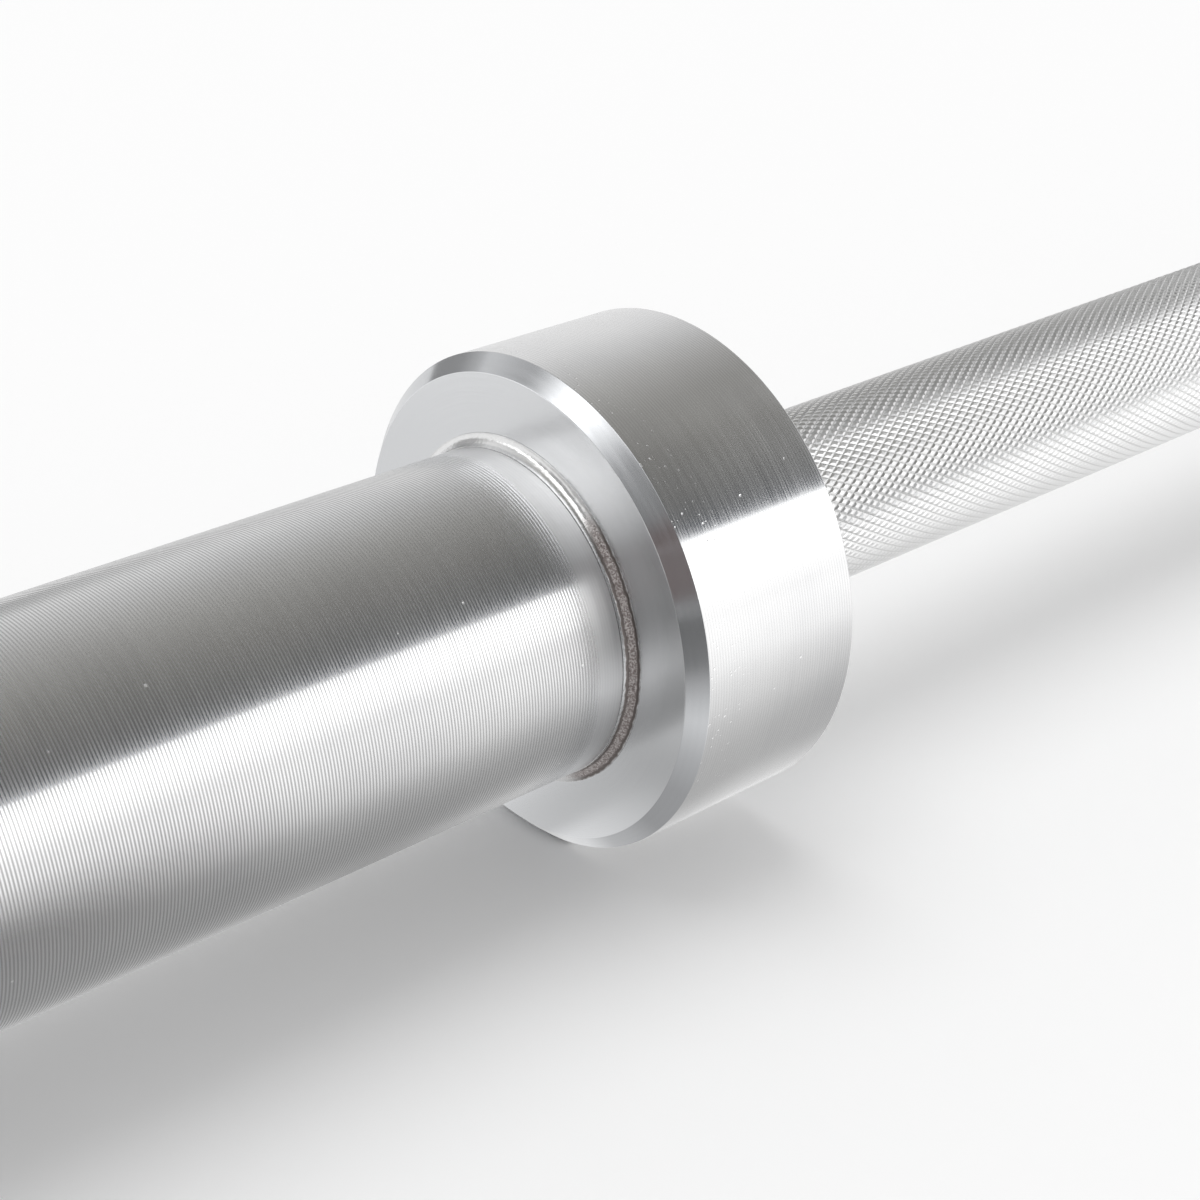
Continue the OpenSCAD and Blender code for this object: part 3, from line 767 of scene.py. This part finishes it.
def card(name, distance, elevations, columns):
    """A curved card beside the bar, which only reflections show. It stands at that distance in metres, or
    nearer where it would reach the floor. Each column is (start, lean, lights): its place along the bar in
    metres, how far that moves for each metre from the bar, and the light at each of the elevations, which
    are in degrees. A light is a grey, which has to be a float, or a colour."""
    vertices, colours, faces = [], [], []
    rows = len(elevations)
    for start, lean, lights in columns:
        for elevation, light in zip(elevations, lights):
            angle = math.radians(elevation)
            reach = distance
            if elevation <= -1:
                reach = min(distance, CARD_DROP / math.sin(-angle))
            across, up = -reach * math.cos(angle), reach * math.sin(angle)
            vertices.append((start + lean * reach, across, up))
            colours.append((light, light, light, 1) if isinstance(light, float) else (*light, 1))
    for i in range(len(columns) - 1):
        for j in range(rows - 1):
            corner = i * rows + j
            faces.append((corner, corner + 1, corner + rows + 1, corner + rows))
    mesh = bpy.data.meshes.new(name)
    mesh.from_pydata(vertices, [], faces)
    layer = mesh.color_attributes.new(name, "FLOAT_COLOR", "POINT")
    layer.data.foreach_set("color", np.array(colours, np.float32).ravel())
    mesh.materials.append(glow(name))
    obj = bpy.data.objects.new(name, mesh)
    bpy.context.scene.collection.objects.link(obj)
    obj.visible_camera = False
    obj.visible_diffuse = False
    obj.visible_shadow = False


def make_front_cards():
    """What the chrome mirrors from below and from the front: the floor, a bounce over it and a softbox."""
    # Each list of lights runs as the elevations do: behind the bar, under it, and out in front of it
    low = [-168, -160, -140, -127, -111, -103, -95]
    low += [-85, -72, -60, -47, -37, -28, -16, -8, -3, -1]
    past_end = [0.78, 0.78, 0.8, 0.8, 0.8, 0.78, 0.76]
    past_end += [0.7, 0.5, 0.44, 0.44, 0.42, 0.38, 0.28, 0.24, 0.22, 0.22]
    by_sleeve = [0.78, 0.78, 0.9, 0.95, 0.66, 0.55, 0.46]
    by_sleeve += [0.44, 0.5, 0.44, 0.5, 0.7, 1.12, 1.38, 1.47, 1.47, 1.45]
    by_collar = [0.78, 0.9, 1.7, 2.0, 1.6, 1.3, 0.92]
    by_collar += [0.85, 1.4, 0.9, 0.6, 0.64, 0.86, 1.36, 1.5, 1.55, 1.5]
    by_grip = [0.9, 1.0, 1.15, 1.15, 1.05, 0.97, 0.9]
    by_grip += [0.88, 0.92, 1.0, 1.16, 1.26, 1.32, 1.4, 1.45, 1.45, 1.5]
    columns = [(-6, 0, past_end), (-0.725, -0.4, past_end), (-0.725, 0.2, by_sleeve)]
    leaning = [(-0.74, by_sleeve), (-0.69, by_collar), (-0.65, by_collar)]
    leaning += [(-0.57, by_grip), (-0.25, by_grip), (-0.1, by_sleeve)]
    columns += [(x, MIRRORED_LEAN, lights) for x, lights in leaning]
    columns.append((6, 0, by_sleeve))
    card("front_bounce", 3.0, low, columns)
    person_low = (0.20, 0.15, 0.145)
    heights = [-0.9, 3, 5.5, 8, 20, 34]
    soft = [1.4, 1.6, 1.35, 1.9, 2.5, (2.95, 2.97, 3.0)]
    room = [0.24, 0.2, 0.2, 0.2, 0.2, 0.22]
    far_room = [0.5, 0.45, 0.42, person_low, person_low, PERSON]
    columns = [(-6, far_room), (-3.9, far_room), (-3.4, room), (-1.4, room), (-0.5, soft), (6, soft)]
    card("front_softbox", 3.0, heights, [(x, 0, lights) for x, lights in columns])


def make_overhead_cards():
    """What the chrome mirrors from above and behind: a shade over the bar, a lit wall and a dim room past
    its left end, a grey wall with a window behind it, and a bounce over the grip."""
    heights = [34.5, 42, 52, 75, 100, 118, 135, 155]
    shade = [(0.12, 0.135, 0.165), (0.13, 0.135, 0.14), (0.17, 0.17, 0.165), (0.26, 0.255, 0.24)]
    shade += [(0.41, 0.405, 0.385), (0.56, 0.555, 0.54), 0.75, 0.97]
    dark = [PERSON, PERSON, 0.27, 0.3, 0.33, 0.32, 0.4, 0.9]
    lit = [0.4, 0.65, 1.1, 2.1, 2.7, 2.7, 2.4, 1.7]
    low_lit = [0.3, 0.45, 0.8, 1.6, 1.9, 0.8, 0.5, 0.9]
    columns = [(-6, dark), (-3.05, dark), (-2.8, lit), (-2.35, lit), (-2.0, low_lit), (-1.7, low_lit)]
    columns += [(-1.2, shade), (6, shade)]
    card("overhead_shade", 2.6, heights, [(x, 0, lights) for x, lights in columns])
    wall, window = [0.75, 0.42, 0.36], [0.97, 1.0, 1.0]
    columns = [(-2, wall), (0.4, wall), (0.8, window), (2.6, window), (3.0, wall), (6, wall)]
    card("back_wall", 3.0, [155.5, 165, 178], [(x, 0, lights) for x, lights in columns])
    heights = [36, 60, 88, 98, 106, 135, 150, 166]
    edge = [0.13, 0.2, 0.33, 0.4, 0.45, 0.7, 0.88, 0.97]
    bounce = [1.55, 1.4, 1.3, 1.0, 0.16, 0.08, 0.55, 1.6]
    card("grip_bounce", 0.25, heights, [(-0.43, 0, edge), (-0.34, 0, bounce), (0.3, 0, bounce)])


def make_world():
    """White to the eye and in the metal, and dimmer as a light, so that the lamp's soft shadow stays."""
    world = bpy.data.worlds.new("studio")
    bpy.context.scene.world = world
    world.use_nodes = True
    tree = world.node_tree
    path = add(tree, "LightPath").outputs
    seen = calc(tree, "MAXIMUM", path["Is Camera Ray"], path["Is Glossy Ray"])
    seen = calc(tree, "MAXIMUM", seen, path["Is Transmission Ray"])
    background = tree.nodes["Background"]
    background.inputs["Color"].default_value = (1, 1, 1, 1)
    tree.links.new(remap(tree, seen, 0.0, 1.0, 0.75, 1.0), background.inputs["Strength"])


def make_floor():
    """A sheet of white paper that the bar lies on with its collars."""
    bpy.ops.mesh.primitive_plane_add(size=80, location=(0, 0, -COLLAR_R * MM))
    floor = bpy.context.object
    floor.name = "studio_floor"
    material = bpy.data.materials.new("floor_paper")
    material.use_nodes = True
    shader = material.node_tree.nodes["Principled BSDF"]
    shader.inputs["Base Color"].default_value = (0.95, 0.95, 0.95, 1)
    shader.inputs["Roughness"].default_value = 0.9
    shader.inputs["Specular IOR Level"].default_value = 0.0
    floor.data.materials.append(material)


def make_lamp():
    """A broad soft lamp above, a little behind the bar. It lights only the floor and the rubber."""
    data = bpy.data.lights.new("soft_lamp", "SUN")
    data.energy = 0.9
    data.angle = math.radians(50)
    lamp = bpy.data.objects.new("soft_lamp", data)
    bpy.context.scene.collection.objects.link(lamp)
    lamp.rotation_euler = (math.radians(-12), 0, 0)
    lit = bpy.data.collections.new("lit_by_lamp")
    for obj in bpy.data.objects:
        if obj.name == "studio_floor" or obj.get("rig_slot") == "black_rubber":
            lit.objects.link(obj)
    lamp.light_linking.receiver_collection = lit


def make_studio():
    """The world, the floor, the lamp and the cards round the bar."""
    make_world()
    make_floor()
    make_lamp()
    make_front_cards()
    make_overhead_cards()


def make_camera():
    """The photograph's camera, as fitted to the outlines of the sleeve, collar and shaft."""
    data = bpy.data.cameras.new("camera")
    data.lens = 68.05
    data.sensor_width = 36
    data.clip_start = 0.01
    data.clip_end = 200
    camera = bpy.data.objects.new("camera", data)
    bpy.context.scene.collection.objects.link(camera)
    right, up = (0.7479, -0.6638, 0), (0.2966, 0.3342, 0.8946)
    look = (0.5938, 0.6691, -0.4468)
    turn = Matrix([right, up, [-v for v in look]]).transposed().to_4x4()
    camera.matrix_world = Matrix.Translation((-0.87337, -0.2293, 0.14934)) @ turn
    bpy.context.scene.camera = camera


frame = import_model()
finishes = make_materials()
dress_nodes(frame, finishes)
make_shaft(finishes)
for side_name, side_sign in SIDES.items():
    make_side(side_name, side_sign, finishes)
make_studio()
make_camera()
bpy.context.scene.view_settings.view_transform = "Standard"
